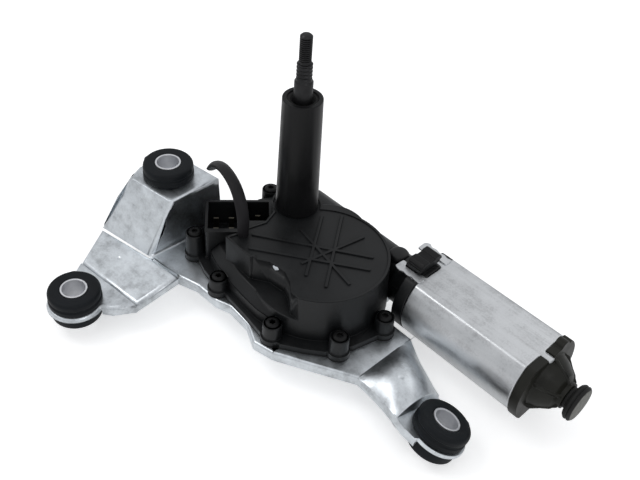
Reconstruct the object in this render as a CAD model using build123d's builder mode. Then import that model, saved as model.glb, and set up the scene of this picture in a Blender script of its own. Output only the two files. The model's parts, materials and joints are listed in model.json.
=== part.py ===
from build123d import *
import os
from math import acos, atan2, cos, degrees, hypot, pi, radians, sin, tan

# Rear wiper motor: a worm gear motor in a moulded gear case, with an oscillating wiper
# spindle, on a pressed steel bracket that hangs from three rubber grommets.
# Millimetres. The origin is on the spindle's axis at the wiper arm's seat, +Z points out
# along the spindle and +X along the motor, away from the gear case.
# Heights are counted from the top face of the bracket's plate, which level() puts in place.

# ---------------------------------------------------------------- driving dimensions

# bracket
sheet = 2.0                    # pressed steel
arm_seat_height = 112.0        # plate to the wiper arm's seat
lip = 5.5                      # turned-down edge, with the sheet
shelf_height = 31.0            # raised shelf that carries the upper grommet
foot_drop = 4.0                # left foot below the plate
hump = [(86.0, -38.5, 0.0, -21.0, 0.6, -1.0, -0.9),       # sections of the right arm: x, then
        (100.0, -39.4, 0.0, -24.5, 5.6, -5.5, -8.0),      # y and height of the front edge, of the
        (113.5, -42.0, 0.4, -27.0, 1.0, -9.6, -10.5)]     # crest and of the rear edge

# grommets and their steel sleeves
grommet_r = 13.3
grommet_neck_r = 9.6
grommet_over = 8.0             # rubber above the sheet
grommet_under = 7.0            # rubber below the sheet
sleeve_r = 6.7
sleeve_bore_r = 5.7
sleeve_proud = 0.2             # steel past the rubber at each end
upper_grommet = (-59.4, -37.3)
left_grommet = (-43.4, -108.2)
right_grommet = (127.4, -27.5)
right_foot_height = -7.6
right_foot_tilt = (0.15, 0.38, 0.91)

# gear case
wall = 2.4
gasket = 0.8
flange = 2.8
case_r = 33.6                  # drum over the wheel, at its top face
case_top = 28.4
case_draft = 3.0               # degrees
case_low = 14.6                # top of the low part around the drum
case_shoulder = 9.5            # its walls stand up to here, then lean in to its top
case_lean = 4.6
rim_width = 1.2                # raised rim line round the top face
rim_height = 0.5
link_top = 21.6                # top over the swinging links
wheel_x = 34.7
wheel_y = -15.0
socket_rim = 22.0
socket_floor = 7.0
socket_wall = 1.8
tunnel_r = 11.0
boss_r = 4.7
screw_r = 2.0
screw_head_r = 3.4
collar_height = 1.2            # boss past the seat of its screw's head
case_screws = [(-27.5, -45.2, 15.2), (0.7, -52.3, 9.0), (42.2, -53.0, 10.2), (69.5, -35.2, 11.2),
               (74.3, -9.2, 10.4), (-29.5, 8.5, 15.4), (-19.5, 21.0, 15.4)]

# spindle
tube_top = 93.9
tube_top_r = 9.8
tube_foot_r = 11.0
tube_bore_r = 6.5
spigot_r = 9.0
spigot_depth = 7.9             # below the case's top face
spindle_r = 4.5
seat_r = 3.8                   # ring-grooved seat under the arm
seat_length = 8.6
stud_r = 3.0                   # M6 stud for the arm's nut
stud_length = 14.5
bush_length = 14.0
seal_r = 7.6
running = 0.05                 # radial clearance of running fits
gap = 0.3                      # between pieces that must not touch

# motor
motor_y = 21.6
motor_height = 8.0
can_near = 76.5
can_far = 142.8
can_r = 21.2
can_flat = 16.0                # half the distance between the can's flats
can_wall = 1.6
tab_reach = 5.8                # crimp tabs from the can into the neck of the case
tab_places = (12.6, 29.6)
tab_overlap = 1.2              # their roots in the can's wall
tab_width = 6.0
tab_thickness = 1.2
tongue_y = 19.5                # tongue of the can in the end cap's notch
tongue_width = 4.0
shaft_r = 4.0
shaft_tip = -4.0               # end of the shaft under the gear case
shaft_end = 145.0
button_in_r = 3.0              # thrust button in the case, behind the shaft's tip
button_in_length = 5.0
bearing_r = 7.0
bearing_length = 7.0
core_r = 12.6
core_near = 98.0
core_far = 128.0
slots = 8
slot_r = 2.1
magnet_inner_r = 13.4
commutator_r = 6.0
commutator_near = 84.0
commutator_length = 12.0

# gears
module_worm = 1.0
wheel_teeth = 60
module_spindle = 1.0
pinion_teeth = 14
sector_teeth = 30              # on the full circle
sector_cut = 5                 # teeth that are cut on the sector
wheel_face = 6.5
axle_r = 3.0
crank_radius = 4.5
crank_angle = 331.5            # parked
crank_pin_r = 2.0
sector_arm = 24.0              # sector pivot to crank pin
sector_thickness = 3.0
sector_pin_r = 2.5
rocker_bottom = 12.4
rocker_thickness = 1.8
tooth_play = 0.04              # taken off half a tooth's angle, times the tooth count
worm_thread = 1.1              # thickness of the thread and of the wheel's teeth at the pitch line

# end of the motor
cap_length = 4.7
button_r = 9.2                 # rubber buffer on the end cap
button_reach = 6.3             # its face past the neck that holds it
cap_cone = 12.5                # cone of the end cap, past its flange

# ---------------------------------------------------------------- derived places

plate_top = -arm_seat_height
motor_z = plate_top + motor_height
wheel_pitch_r = module_worm * wheel_teeth / 2
worm_pitch_r = motor_y - wheel_y - wheel_pitch_r
pinion_pitch_r = module_spindle * pinion_teeth / 2
sector_pitch_r = module_spindle * sector_teeth / 2
rocker_length = pinion_pitch_r + sector_pitch_r
wheel_bottom = motor_height - wheel_face / 2
wheel_top = motor_height + wheel_face / 2
rocker_top = rocker_bottom + rocker_thickness
sector_bottom = rocker_top + gap
sector_top = sector_bottom + sector_thickness
case_ceiling = case_top - wall
commutator_far = commutator_near + commutator_length
cap_face = can_far + cap_length
neck_end = cap_face + cap_cone
button_x = neck_end + button_reach
shelf_under = shelf_height - sheet

crank_x = wheel_x + crank_radius * cos(radians(crank_angle))
crank_y = wheel_y + crank_radius * sin(radians(crank_angle))
crank_reach = hypot(crank_x, crank_y)
rocker_angle = degrees(atan2(crank_y, crank_x)
                       + acos((rocker_length ** 2 + crank_reach ** 2 - sector_arm ** 2)
                              / (2 * rocker_length * crank_reach)))
pivot_x = rocker_length * cos(radians(rocker_angle))
pivot_y = rocker_length * sin(radians(rocker_angle))
sector_angle = degrees(atan2(crank_y - pivot_y, crank_x - pivot_x))


def level(height):
    """Plane seen from above, at a height over the bracket's plate."""
    return Plane.XY.offset(plate_top + height)


def across_motor(x):
    """Plane across the motor's axis at x, with its own x along +Y and its own y up."""
    return Plane(origin=(x, motor_y, motor_z), x_dir=(0, 1, 0), z_dir=(1, 0, 0))


def upright(x, y, height=0.0):
    """Plane seen from above whose origin is over a point of the plate."""
    return Plane(origin=(x, y, plate_top + height))


def beside(plane):
    """Plane that holds the other plane's z axis: its own x is a radius, its own y a height."""
    return Plane(origin=plane.origin, x_dir=plane.x_dir, z_dir=-plane.y_dir)


def turned(profile, plane):
    """Solid turned about a plane's z axis from points given as (radius, height)."""
    with BuildPart(mode=Mode.PRIVATE) as solid:
        with BuildSketch(beside(plane)):
            Polygon(*profile, align=None)
        revolve(axis=Axis(plane.origin, plane.z_dir))
    return solid.part


def ring(inner, outer, near, far, plane):
    """Plain ring on a plane's z axis."""
    return turned([(inner, near), (outer, near), (outer, far), (inner, far)], plane)


def slab(sketch, bottom, top, taper=0.0):
    """Sketch raised from one height over the plate to another."""
    with BuildPart(mode=Mode.PRIVATE) as solid:
        with BuildSketch(level(bottom)):
            add(sketch)
        extrude(amount=top - bottom, taper=taper)
    return solid.part


def shrunk(sketch, amount):
    """Outline moved inward by an amount, or outward when it is negative."""
    with BuildSketch(mode=Mode.PRIVATE) as moved:
        add(sketch)
        offset(amount=-amount, kind=Kind.INTERSECTION, mode=Mode.REPLACE)
    return moved.sketch


def write(part, name):
    part.label = name
    export_step(part, f"parts/{name}.step")


os.makedirs("parts", exist_ok=True)

motor_line = across_motor(0)
wheel_line = upright(wheel_x, wheel_y)
spindle_line = level(0)
screw_places = [(x, y) for x, y, _ in case_screws]

# ---------------------------------------------------------------- bracket

upper_foot = Plane(origin=(*upper_grommet, plate_top + shelf_height))
left_foot = Plane(origin=(*left_grommet, plate_top - foot_drop))
right_foot = Plane(origin=(*right_grommet, plate_top + right_foot_height),
                   x_dir=(0.91, 0, -0.15), z_dir=right_foot_tilt)
shelf_corner = (-41.5, -64.5)  # where the shelf's front edge comes down to the plate
facet_end = (-20.3, -62.1)
left_bend = (-21.0, -87.5)     # right end of the bend into the left foot
bend_start = (-64.5, -92.0)    # its left end
arm_start = hump[0][0]         # where the right arm leaves the plate, along X
foot_start = hump[-1][0] - sheet
lobe_over = 1.0                # sheet past the grommet's edge
facet_fall = foot_drop / abs(left_bend[1] - facet_end[1])
facet = Plane(origin=(*shelf_corner, plate_top), x_dir=(1, 0.1, 0), z_dir=(0.1 * facet_fall, -facet_fall, 1))

with BuildSketch() as bracket_outline:
    with BuildLine():
        Polyline(shelf_corner, facet_end, (-9, -58.2), (5, -57.8), (13, -55.0), (27, -56.0), (38, -61.2),
                 (49.1, -58.7), (62.7, -51.4), (arm_start, hump[0][1]), (arm_start, hump[0][5]), (63, -0.8),
                 (59.5, 5), (56, 33.5), (-16, 33.5), (-35.5, 15), (-41, -14), shelf_corner)
    make_face()
    fillet(bracket_outline.vertices().filter_by(lambda v: -30 < v.X < arm_start - 1), 4)
    with BuildLine():
        Polyline((-77, -70.6), shelf_corner, facet_end, left_bend, (-26.5, -98), (-31, -101.5),
                 (-56, -106), bend_start, (-77, -70.6))
    make_face()
    with BuildLine():
        Polyline((foot_start, -41.6), (118, -43.2), (125.5, -42.8), (131, -30), (126, -13.0), (119, -9.2),
                 (foot_start, -9.4), (foot_start, -41.6))
    make_face()

bracket_inside = shrunk(bracket_outline.sketch, sheet)

with BuildSketch() as plate_area:
    Polygon((arm_start, 60), (arm_start, -90), (-19, -90), facet_end, shelf_corner, (-60, -64.5),
            (-60, 60), align=None)

with BuildSketch() as facet_area:
    Polygon((-90, -72), shelf_corner, facet_end, (-10, -64), (-10, -88), left_bend, bend_start,
            (-90, -92), align=None)

with BuildSketch() as left_foot_area:
    Polygon((-90, -92), bend_start, left_bend, (0, -87), (0, -140), (-90, -140), align=None)

with BuildSketch() as right_foot_area:
    Polygon((foot_start, 10), (foot_start, -60), (170, -60), (170, 10), align=None)


def pressed(outline, area, face, depth):
    """Solid under one flat of the pressing: the outline within an area, down to a depth."""
    with BuildPart(mode=Mode.PRIVATE) as flat:
        with BuildSketch(level(-60)):
            add(outline)
            add(area, mode=Mode.INTERSECT)
        extrude(amount=110)
        split(bisect_by=face, keep=Keep.BOTTOM)
        split(bisect_by=face.offset(-depth), keep=Keep.TOP)
    return flat.part


def arm_solid(inset, depth, first, last):
    """Crowned right arm: sections with an arched top, inset by the sheet, down to a depth."""
    with BuildPart(mode=Mode.PRIVATE) as band:
        for place, (x, front, front_z, crest, crest_z, rear, rear_z) in zip((first, hump[1][0], last), hump):
            with BuildSketch(Plane(origin=(place, 0, plate_top), x_dir=(0, 1, 0), z_dir=(1, 0, 0))):
                with BuildLine():
                    Line((front + inset, -depth), (front + inset, front_z - inset))
                    ThreePointArc((front + inset, front_z - inset), (crest, crest_z - inset),
                                  (rear - inset, rear_z - inset))
                    Line((rear - inset, rear_z - inset), (rear - inset, rear_z - depth))
                    Line((rear - inset, rear_z - depth), (front + inset, -depth))
                make_face()
        loft()
    return band.part


shelf_top = [(-69.8, -54.4), (-39.5, -50.0), (-40.5, -19.0), (-59.4, -21.0), (-70.5, -25.5), (-75.3, -35.0),
             (-75.0, -45.0)]
shelf_base = [(-77.0, -70.6), shelf_corner, (-41.0, -17.0), (-59.4, -21.0), (-71.0, -25.5), (-76.5, -35.0),
              (-78.0, -50.0)]


with BuildPart() as shelf:
    with BuildSketch(level(0)):
        Polygon(*shelf_base, align=None)
    with BuildSketch(level(shelf_height)):
        Polygon(*shelf_top, align=None)
    loft(ruled=True)

with BuildSketch() as shelf_base_outline:
    Polygon(*shelf_base, align=None)

with BuildSketch() as shelf_top_outline:
    Polygon(*shelf_top, align=None)

with BuildPart() as shelf_inside:
    for height, outline in ((-lip - 6, shelf_base_outline), (0.0, shelf_base_outline),
                            (shelf_under, shelf_top_outline)):
        with BuildSketch(level(height)):
            add(shrunk(outline.sketch, sheet))
    loft(ruled=True)
    with BuildSketch(Plane(origin=(-95, 0, plate_top), x_dir=(0, 1, 0), z_dir=(1, 0, 0))):
        Polygon((-63.5, -12), (-63.5, 0), (-52.0, shelf_height - lip - 2), (20, shelf_height - lip - 2),
                (20, -12), align=None)
    extrude(amount=48)

flats = [(plate_area.sketch, level(0), 0.4), (facet_area.sketch, facet, 3.5),
         (left_foot_area.sketch, left_foot, 3.5), (right_foot_area.sketch, right_foot, 0.0)]

with BuildPart() as mounting_bracket:
    for area, face, _ in flats:
        add(pressed(bracket_outline.sketch, area, face, lip))
    add(arm_solid(0.0, lip, hump[0][0], hump[-1][0]))
    add(shelf.part)
    for foot in (left_foot, right_foot):
        add(ring(0, grommet_r + lobe_over, -sheet, 0, foot))
    for area, face, overrun in flats:
        add(pressed(bracket_inside, shrunk(area, -overrun), face.offset(-sheet), lip + 6),
            mode=Mode.SUBTRACT)
    add(arm_solid(sheet, lip + 12, hump[0][0] - 0.5, foot_start), mode=Mode.SUBTRACT)
    add(shelf_inside.part, mode=Mode.SUBTRACT)
    for foot in (left_foot, right_foot):
        add(ring(0, grommet_r + lobe_over, -lip - 10, -sheet, foot), mode=Mode.SUBTRACT)
    for foot in (upper_foot, left_foot, right_foot):
        with Locations(foot):
            Cylinder(grommet_neck_r, 30, mode=Mode.SUBTRACT)
    with Locations(*[(x, y, plate_top) for x, y in screw_places]):
        Cylinder(screw_r, 30, mode=Mode.SUBTRACT)
    with Locations((wheel_x, wheel_y, plate_top)):
        Cylinder(axle_r, 30, mode=Mode.SUBTRACT)
write(mounting_bracket.part, "mounting_bracket")

# ---------------------------------------------------------------- grommets and sleeves

grommet_profile = [
    (sleeve_r, -sheet - grommet_under), (grommet_r - 1.8, -sheet - grommet_under),
    (grommet_r - 0.7, -sheet - grommet_under + 1.2), (grommet_r - 0.7, -sheet), (grommet_neck_r, -sheet),
    (grommet_neck_r, 0), (grommet_r, 0), (grommet_r, 2.8), (grommet_r - 0.6, 3.2), (grommet_r - 0.6, 4.4),
    (grommet_r - 0.1, 4.8), (grommet_r - 0.2, grommet_over - 1.2), (grommet_r - 1.2, grommet_over),
    (sleeve_r + 0.9, grommet_over), (sleeve_r, grommet_over - 0.5)]

for foot, side in ((upper_foot, "upper"), (left_foot, "left"), (right_foot, "right")):
    with BuildPart() as grommet:
        add(turned(grommet_profile, foot))
    write(grommet.part, f"grommet_{side}")
    with BuildPart() as sleeve:
        add(ring(sleeve_bore_r, sleeve_r, -sheet - grommet_under - sleeve_proud, grommet_over + sleeve_proud,
                 foot))
    write(sleeve.part, f"sleeve_{side}")

# ---------------------------------------------------------------- gear case

socket_corner = (-39.2, -28.8)
socket_turn = 50.5             # degrees, direction of the socket's long side
socket_length = 35.0
socket_width = 25.8
socket_rooms = [(1.5, 17.5, 21.0), (21.5, 33.2, 15.0)]   # start and end along the side, depth across

with BuildSketch() as case_outline:
    with BuildLine():
        Polyline((-33, -40), (-27, -46), (-13.6, -50.6), (-5, -52), (9.3, -53.4), (23.7, -54.8), (39.3, -56.8),
                 (49.4, -54.5), (59.1, -48), (67, -41.5), (72.9, -29), (75.9, -15), (76.0, -3.2), (63, -2.5),
                 (58, 6), (55, 33.3), (-16, 33), (-35, 14.5), (-40.5, -14), (-40.5, -31), (-33, -40))
    make_face()
    fillet(case_outline.vertices(), 2)
    with Locations(*screw_places):
        Circle(boss_r + 1.0)

with BuildSketch() as case_low_outline:
    Polygon((-27, -34), (-16, -44.8), (-7.8, -47.5), (7.8, -50.8), (17, -51.8), (29.7, -52.6), (38, -51.5),
            (50, -44), (58, -20), (58, -4), (55, 4), (52, 29.6), (-9, 30), (-26, 16), (-34, 0), align=None)

with BuildSketch() as plateau_outline:
    Polygon((-4.2, -43.9), (-1.4, -34.7), (-2.5, -31.3), (-0.2, -21.3), (-3.5, -12.9), (-3.5, 5), (15, 8),
            (24, -20), (15.1, -44.1), align=None)

with BuildSketch() as pocket_outline:
    Polygon((15.1, -44.1), (23.3, -38.6), (33, -37.6), (39.5, -40.3), (45.1, -44.7), (51.6, -45),
            (56, -60), (12, -60), align=None)


socket_frame = Plane(origin=(*socket_corner, plate_top),
                     x_dir=(cos(radians(socket_turn)), sin(radians(socket_turn)), 0))

with BuildSketch(socket_frame) as socket_outline:
    with Locations((socket_length / 2, -socket_width / 2)):
        Rectangle(socket_length, socket_width)

with BuildSketch() as socket_body_outline:
    add(socket_outline.sketch)
    add(plateau_outline.sketch, mode=Mode.SUBTRACT)

with BuildSketch(socket_frame) as socket_room_outline:
    for start, end, depth in socket_rooms:
        with Locations(((start + end) / 2, -socket_wall - depth / 2)):
            Rectangle(end - start, depth)

nose_near = 60.0
neck_near = 70.0
neck_r = 14.0
tunnel_start = -12.0
tunnel_bore_r = 8.6
plug_place = (54.0, 21.6)      # plug over the worm, in the top of its tunnel
plug_r = 5.5
low_inset = wall + 3.0         # from the low part's outline to its inside
socket_foot = 4.6              # underside of the socket's own moulding
link_x = 19.0                  # round room over the swinging links
link_y = 6.0
link_r = 19.8
cover_ribs = [((3, -32.6), (53.5, 1.8)), ((9.5, -40.4), (58.5, -5.6)), ((15, 4), (41.5, -32)),
              ((21.5, 12), (53, -30)), ((15.5, -11.5), (59, -20.2)), ((40, 9), (34, -28))]
rib_width = 1.3
rib_height = 0.7
pipe_r = 2.5
pipe_bore_r = 1.4
pipe_depth = 1.8               # of the breather pipe's foot in the case's top
pipe_foot = (0.3, -36.1)
pipe_end = (-45.0, -20.0)
pipe_bends = [(0.0, 36.0), (14.0, 51.0), (47.2, 36.0)]   # along the line from foot to end, and height
blade_width = 2.8
blade_thickness = 0.8
blade_places = [(x, -socket_width / 2 + y) for x in (5.5, 13.5) for y in (-4, 4)]
blade_places += [(27.3, -7.0), (27.3, -12.0)]
tube_seat_r = tube_foot_r + 2.6


def flatted(grow, near, far):
    """Round body with two flats, like the motor's can and larger by an amount, from x to x."""
    with BuildPart(mode=Mode.PRIVATE) as body:
        with BuildSketch(across_motor(near)):
            Circle(can_r + grow)
            Rectangle(3 * can_r, 2 * (can_flat + grow), mode=Mode.INTERSECT)
        extrude(amount=far - near)
    return body.part


def drum(inset, top):
    """Tapered drum over the gear wheel, inset from its wall, up to a height."""
    spread = tan(radians(case_draft))
    return turned([(0, gasket), (case_r - inset + spread * (case_top - gasket), gasket),
                   (case_r - inset + spread * (case_top - top), top), (0, top)], wheel_line)


with BuildPart() as low_part:
    add(slab(case_low_outline.sketch, gasket, case_shoulder, 4.0))
    with BuildSketch(level(case_shoulder)):
        add(shrunk(case_low_outline.sketch, 0.6))
    with BuildSketch(level(case_low)):
        add(shrunk(case_low_outline.sketch, 0.6 + case_lean))
    loft(ruled=True)

with BuildPart() as case_inside:
    add(drum(wall, case_ceiling))
    add(slab(shrunk(plateau_outline.sketch, wall), gasket, case_ceiling))
    add(slab(shrunk(pocket_outline.sketch, -wall), case_low - wall, case_top), mode=Mode.SUBTRACT)
    add(slab(shrunk(case_low_outline.sketch, low_inset), gasket, case_low - wall))
    add(slab(socket_outline.sketch, socket_floor - wall, case_top), mode=Mode.SUBTRACT)
    add(ring(0, link_r - wall, gasket, link_top - wall, upright(link_x, link_y)))
    add(ring(0, tube_seat_r - wall, gasket, case_top - spigot_depth, spindle_line))
    add(ring(0, tunnel_bore_r, shaft_tip, nose_near, motor_line))
    add(ring(0, button_in_r, shaft_tip - button_in_length, shaft_tip, motor_line))
    split(bisect_by=level(gasket), keep=Keep.TOP)

with BuildSketch() as rim_outline:
    for inset, mode in ((0.0, Mode.ADD), (rim_width, Mode.SUBTRACT)):
        with Locations((wheel_x, wheel_y)):
            Circle(case_r - inset, mode=mode)
        Circle(tube_seat_r - inset, mode=mode)
        add(shrunk(plateau_outline.sketch, inset) if inset else plateau_outline.sketch, mode=mode)

with BuildPart() as gear_cover:
    add(slab(case_outline.sketch, gasket, gasket + flange))
    add(low_part.part)
    add(drum(0.0, case_top))
    add(slab(plateau_outline.sketch, gasket, case_top))
    add(ring(0, tube_seat_r, gasket, case_top, spindle_line))
    add(ring(0, link_r, gasket, link_top, upright(link_x, link_y)))
    add(slab(rim_outline.sketch, case_top - rim_height, case_top + rim_height))
    add(slab(pocket_outline.sketch, case_low, case_top + 1), mode=Mode.SUBTRACT)
    add(slab(socket_body_outline.sketch, gasket, socket_foot + 3.0))
    add(slab(socket_body_outline.sketch, socket_foot, case_top + 1), mode=Mode.SUBTRACT)
    add(ring(0, tunnel_r, tunnel_start, nose_near, motor_line))
    split(bisect_by=level(gasket), keep=Keep.TOP)
    add(turned([(0, motor_height), (plug_r, motor_height), (plug_r, 19.4), (plug_r - 1.0, 20.8),
                (plug_r - 3.0, 21.4), (0, 21.6)], upright(*plug_place)))
    add(ring(0, neck_r, nose_near, neck_near, motor_line))
    add(flatted(0.0, neck_near, can_near))
    add(case_inside.part, mode=Mode.SUBTRACT)
    for x, y, top in case_screws:
        add(turned([(0, gasket), (boss_r + 0.3, gasket), (boss_r, top + collar_height),
                    (screw_head_r + 0.4, top + collar_height), (screw_head_r + 0.4, top), (0, top)],
                   upright(x, y)))
    add(ring(0, bearing_r, nose_near, nose_near + bearing_length, motor_line), mode=Mode.SUBTRACT)
    add(ring(0, shaft_r + 1.5, nose_near, can_near, motor_line), mode=Mode.SUBTRACT)
    add(ring(0, spigot_r, case_top - spigot_depth - 1, case_top, spindle_line), mode=Mode.SUBTRACT)
    with Locations((69.5, 21.0, motor_z + neck_r)):
        Box(9.5, 15, 10)
    for place in tab_places:
        with Locations((can_near + (tab_overlap - tab_reach) / 2, place, motor_z + can_flat)):
            Box(tab_reach + tab_overlap, tab_width, 2 * tab_thickness, mode=Mode.SUBTRACT)
    with Locations(*[(x, y, plate_top) for x, y in screw_places]):
        Cylinder(screw_r, 120, mode=Mode.SUBTRACT)
    for start, end in cover_ribs:
        middle = ((start[0] + end[0]) / 2, (start[1] + end[1]) / 2)
        along = degrees(atan2(end[1] - start[1], end[0] - start[0]))
        with Locations(Location((*middle, plate_top + case_top), (0, 0, along))):
            Box(hypot(end[0] - start[0], end[1] - start[1]), rib_width, 2 * rib_height)
    with Locations((*pipe_foot, plate_top + case_top)):
        Cylinder(pipe_r + 0.02, 2 * pipe_depth, mode=Mode.SUBTRACT)
    for x, y in blade_places:
        with Locations(socket_frame * Location((x, y, socket_floor))):
            Box(blade_width, blade_thickness, 20, mode=Mode.SUBTRACT)
write(gear_cover.part, "gear_cover")

with BuildPart() as connector_socket:
    add(slab(socket_body_outline.sketch, socket_foot, socket_rim))
    add(slab(socket_room_outline.sketch, socket_floor, socket_rim), mode=Mode.SUBTRACT)
    for x, y in blade_places:
        with Locations(socket_frame * Location((x, y, socket_floor))):
            Box(blade_width, blade_thickness, 20, mode=Mode.SUBTRACT)
write(connector_socket.part, "connector_socket")

with BuildPart() as cover_gasket:
    add(slab(case_outline.sketch, 0.0, gasket))
    add(slab(shrunk(case_low_outline.sketch, low_inset), 0.0, gasket), mode=Mode.SUBTRACT)
    add(ring(0, case_r - wall, 0.0, gasket, wheel_line), mode=Mode.SUBTRACT)
    add(ring(0, link_r - wall, 0.0, gasket, upright(link_x, link_y)), mode=Mode.SUBTRACT)
    for x, y in screw_places:
        add(ring(screw_r, boss_r, 0.0, gasket, upright(x, y)))
        add(ring(0, screw_r, 0.0, gasket, upright(x, y)), mode=Mode.SUBTRACT)
write(cover_gasket.part, "cover_gasket")

with BuildPart() as cover_screws:
    for x, y, top in case_screws:
        add(turned([(0, -sheet - 1.5), (screw_r, -sheet - 1.5), (screw_r, top), (screw_head_r, top),
                    (screw_head_r, top + 2.2), (1.6, top + 2.2), (1.6, top + 0.8), (0, top + 0.8)],
                   upright(x, y)))
write(cover_screws.part, "cover_screws")

with BuildPart() as breather_pipe:
    run = (Vector(*pipe_end) - Vector(*pipe_foot)).normalized()
    bends = [Vector(*pipe_foot, plate_top + height) + run * along for along, height in pipe_bends]
    with BuildLine() as pipe_line:
        Line((*pipe_foot, plate_top + case_top - pipe_depth), bends[0])
        rise = TangentArc(bends[0], bends[1], tangent=(0, 0, 1))
        TangentArc(bends[1], bends[2], tangent=rise % 1)
    with BuildSketch(Plane(origin=pipe_line.line @ 0, z_dir=pipe_line.line % 0)):
        Circle(pipe_r)
        Circle(pipe_bore_r, mode=Mode.SUBTRACT)
    sweep(path=pipe_line.line)
write(breather_pipe.part, "breather_pipe")

with BuildPart() as connector_terminals:
    for x, y in blade_places:
        with Locations(socket_frame * Location((x, y, (3.0 + 17.0) / 2))):
            Box(blade_width, blade_thickness, 14.0)
write(connector_terminals.part, "connector_terminals")

# ---------------------------------------------------------------- spindle and its tube

spindle_foot = 10.6            # lower end of the spindle
clip_foot = spindle_foot + 0.8
clip_height = 0.9
clip_r = 6.0
groove_depth = 0.5
lower_bush = case_top - spigot_depth + 1.0
upper_bush = tube_top - 22.0
seat_bottom = arm_seat_height - seat_length
seal_bottom = tube_top - 5.0

with BuildPart() as spindle_tube:
    add(turned([(tube_bore_r, case_top - spigot_depth), (spigot_r, case_top - spigot_depth),
                (spigot_r, case_top), (tube_foot_r, case_top), (tube_top_r, tube_top),
                (seal_r, tube_top), (seal_r, seal_bottom), (tube_bore_r, seal_bottom)], spindle_line))
write(spindle_tube.part, "spindle_tube")

for name, foot in (("lower", lower_bush), ("upper", upper_bush)):
    with BuildPart() as bush:
        add(ring(spindle_r + running, tube_bore_r, foot, foot + bush_length, spindle_line))
    write(bush.part, f"spindle_bush_{name}")

with BuildPart() as spindle_seal:
    add(turned([(spindle_r + running, seal_bottom + 0.4), (seal_r, seal_bottom + 0.4),
                (seal_r, tube_top - 0.8), (6.2, tube_top - 0.8), (spindle_r + running, tube_top - 2.2)],
               spindle_line))
write(spindle_seal.part, "spindle_seal")

groove_places = [seat_bottom + 1.2 + 1.9 * k for k in range(4)]
seat_rings = [point for z in groove_places
              for point in ((seat_r, z), (seat_r - groove_depth, z + 0.4), (seat_r - groove_depth, z + 0.8),
                            (seat_r, z + 1.2))]

with BuildPart() as wiper_spindle:
    add(turned([(0, spindle_foot), (spindle_r - 0.6, spindle_foot), (spindle_r - 0.6, clip_foot),
                (spindle_r - 1.0, clip_foot), (spindle_r - 1.0, clip_foot + clip_height),
                (spindle_r, clip_foot + clip_height),
                (spindle_r, seat_bottom - 0.7), (seat_r, seat_bottom), *seat_rings, (seat_r, arm_seat_height),
                (stud_r, arm_seat_height), (stud_r, arm_seat_height + stud_length - 1.0),
                (stud_r - 1.0, arm_seat_height + stud_length), (0, arm_seat_height + stud_length)],
               spindle_line))
write(wiper_spindle.part, "wiper_spindle")

with BuildPart() as spindle_circlip:
    add(ring(spindle_r - 1.0, clip_r, clip_foot, clip_foot + clip_height, spindle_line))
write(spindle_circlip.part, "spindle_circlip")

# ---------------------------------------------------------------- gears and links

pressure = radians(20)


def tooth_points(teeth, module, centre, play, tip, root):
    """Outline of one involute tooth about its centre angle, from root to tip and back."""
    pitch_r = module * teeth / 2
    base_r = pitch_r * cos(pressure)
    start_r = max(base_r, root + 0.05)

    def half_angle(r):
        at_pitch = (pi / 2 - play) / teeth + tan(pressure) - pressure
        lean = acos(min(1.0, base_r / r))
        return at_pitch - (tan(lean) - lean)

    radii = [start_r, (start_r + tip) / 2, tip]
    rising = [(r, centre - half_angle(r)) for r in radii]
    falling = [(r, centre + half_angle(r)) for r in reversed(radii)]
    foot = half_angle(start_r)
    flank = [(root, centre - foot)] + rising + falling + [(root, centre + foot)]
    return [(r * cos(angle), r * sin(angle)) for r, angle in flank]


def gear_outline(teeth, module, first, count, play, addendum, dedendum):
    """Points of a toothed outline: count teeth from the first tooth's centre angle in radians."""
    pitch_r = module * teeth / 2
    points = []
    for k in range(count):
        points += tooth_points(teeth, module, first + 2 * pi * k / teeth, play, pitch_r + addendum,
                               pitch_r - dedendum)
    return points


worm_addendum = 0.8
worm_root = 1.2
worm_lead = pi * module_worm
worm_turns = 7
worm_start = wheel_x - worm_lead / 4 - worm_lead * (worm_turns // 2)
wheel_play = pi / 2 - worm_thread / module_worm
gap_to_worm = radians(90) + pi / wheel_teeth
hub_r = 7.5
rim_inner_r = 25.0
web = 3.0

with BuildPart() as gear_wheel:
    with BuildSketch(upright(wheel_x, wheel_y, wheel_bottom)):
        Polygon(*gear_outline(wheel_teeth, module_worm, gap_to_worm, wheel_teeth, wheel_play, 1.0, worm_root),
                align=None)
    extrude(amount=wheel_face)
    add(ring(hub_r, rim_inner_r, wheel_bottom, wheel_top - web, wheel_line), mode=Mode.SUBTRACT)
    add(ring(0, axle_r + running, wheel_bottom, wheel_top - 2.3, wheel_line), mode=Mode.SUBTRACT)
    add(ring(0, crank_pin_r, wheel_top - 1.6, wheel_top, upright(crank_x, crank_y)), mode=Mode.SUBTRACT)
write(gear_wheel.part, "gear_wheel")

with BuildPart() as wheel_axle:
    add(turned([(0, -sheet - 1.2), (axle_r + 2.0, -sheet - 1.2), (axle_r + 2.0, -sheet), (axle_r, -sheet),
                (axle_r, wheel_top - 2.5), (0, wheel_top - 2.5)], wheel_line))
    add(ring(axle_r, hub_r - 1.0, 0.0, wheel_bottom - 0.1, wheel_line))
write(wheel_axle.part, "wheel_axle")

with BuildPart() as crank_pin:
    add(ring(0, crank_pin_r, wheel_top - 1.6, sector_bottom - gap, upright(crank_x, crank_y)))
write(crank_pin.part, "crank_pin")

with BuildPart() as spindle_pinion:
    with BuildSketch(level(sector_bottom - 0.2)):
        Polygon(*gear_outline(pinion_teeth, module_spindle, radians(rocker_angle), pinion_teeth,
                              tooth_play * pinion_teeth / 10, 1.0, 1.25), align=None)
        Circle(spindle_r, mode=Mode.SUBTRACT)
    extrude(amount=sector_thickness + 0.4)
write(spindle_pinion.part, "spindle_pinion")

pivot_line = upright(pivot_x, pivot_y)
pivot_eye_r = 5.0
rocker_eye_r = 7.5


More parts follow.
